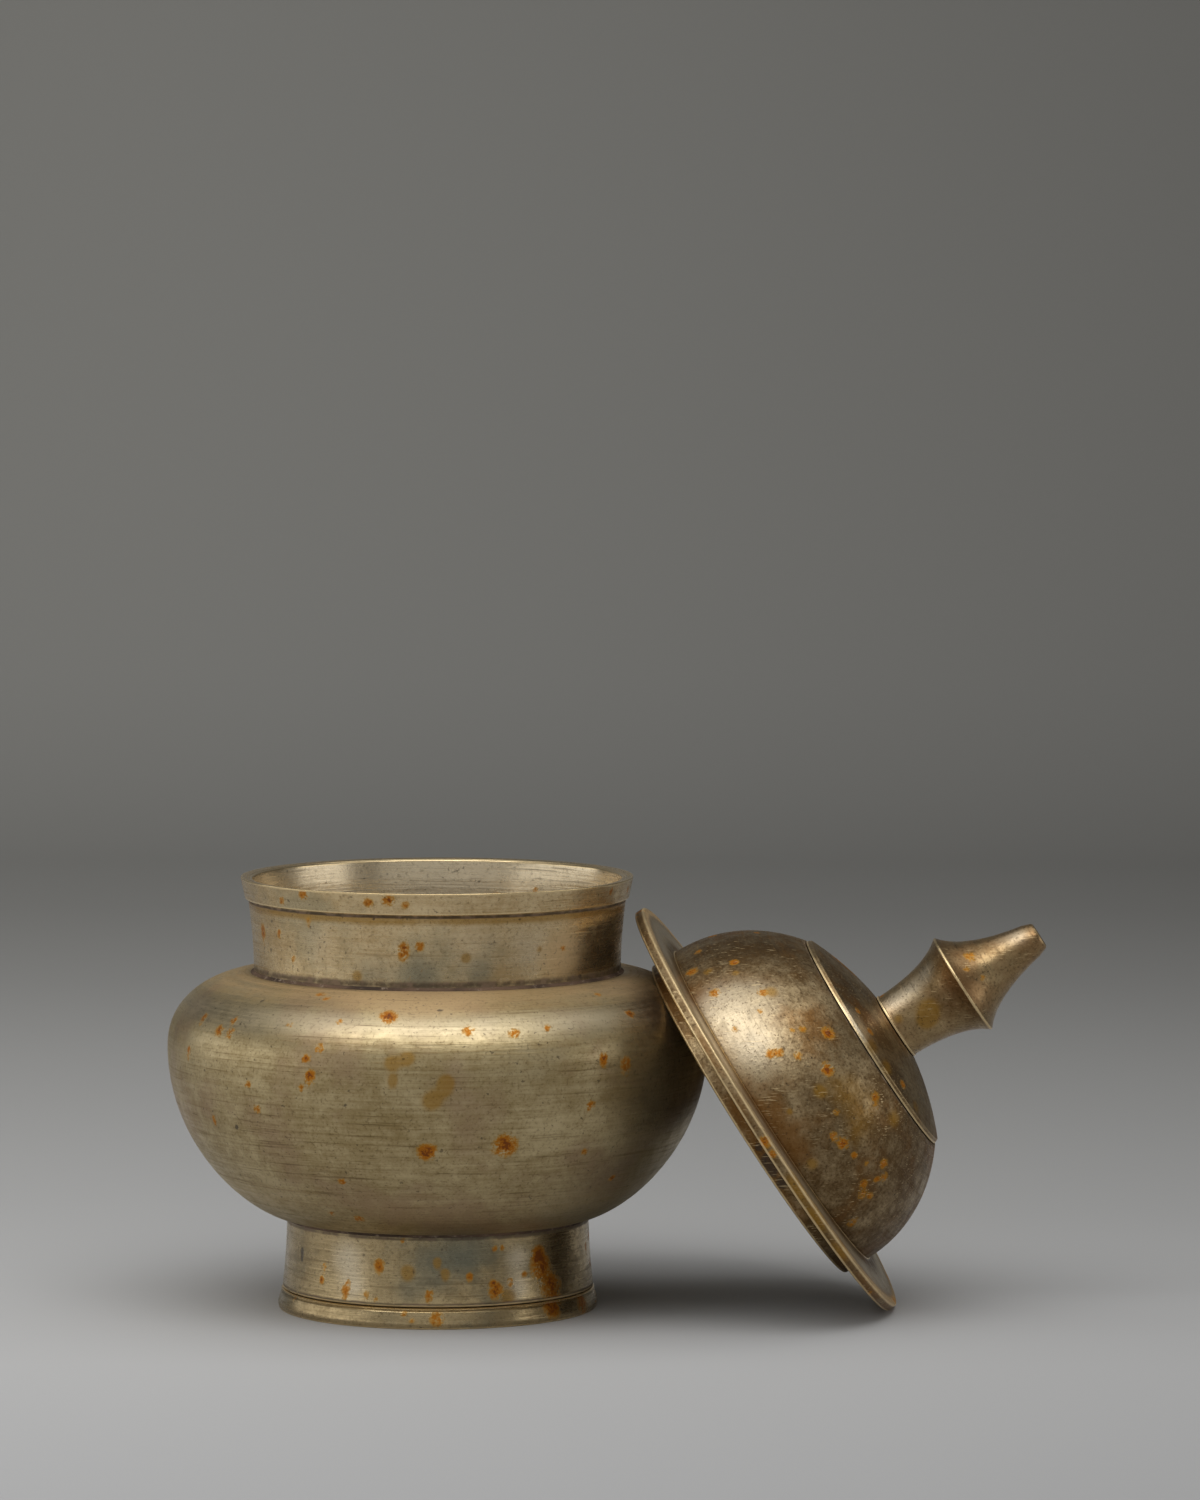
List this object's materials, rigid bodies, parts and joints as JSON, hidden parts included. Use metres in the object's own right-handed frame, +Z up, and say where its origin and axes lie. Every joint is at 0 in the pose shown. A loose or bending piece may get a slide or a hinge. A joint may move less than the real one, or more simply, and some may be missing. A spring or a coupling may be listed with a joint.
{
  "type": "lidded ritual rice pot",
  "caption": "Round-bellied bronze pot on a waisted ring foot, with a banded mouth and a domed lid with a turned knob, taken off and leaning on its shoulder. Holds cooked rice.",
  "frame": {"origin": "on the table under the middle of the box round pot and leaning lid", "axes": "+Z up, +X from the pot towards the leaning lid, +Y away from the picture's viewer"},
  "size_m": [0.2366, 0.1456, 0.1167],
  "materials": {
    "pot_bronze": "aged turned bronze, dull gold-brown with fine turning lines and rust-coloured spots",
    "neck_bronze": "pale aged bronze, slightly silvery, with bright worn edges",
    "foot_bronze": "pale aged bronze with grey-green dull patches and rust-coloured drips",
    "lid_bronze": "brown aged bronze, speckled and scratched",
    "knob_bronze": "brown aged bronze with a copper-red bloom and a worn bright arris",
    "solder": "dull grey-violet filler crust",
    "inner_brass": "dull brown inner brass"
  },
  "bodies": {
    "pot": {"belly_shell": "pot_bronze", "neck_collar": "neck_bronze", "mouth_band": "neck_bronze", "neck_solder_seam": "solder", "foot_ring": "foot_bronze", "foot_base_band": "foot_bronze", "foot_solder_seam": "solder"},
    "lid": {"lid_brim": "lid_bronze", "lid_spigot": "lid_bronze", "lid_dome": "lid_bronze", "lid_crown": "lid_bronze", "knob": "knob_bronze", "knob_washer": "inner_brass"}
  },
  "joints": [
    {"name": "lid_lift", "type": "slide", "parent": "pot", "child": "lid", "axis": [0, 0, 1], "range_m": [0, 0.13]}
  ]
}
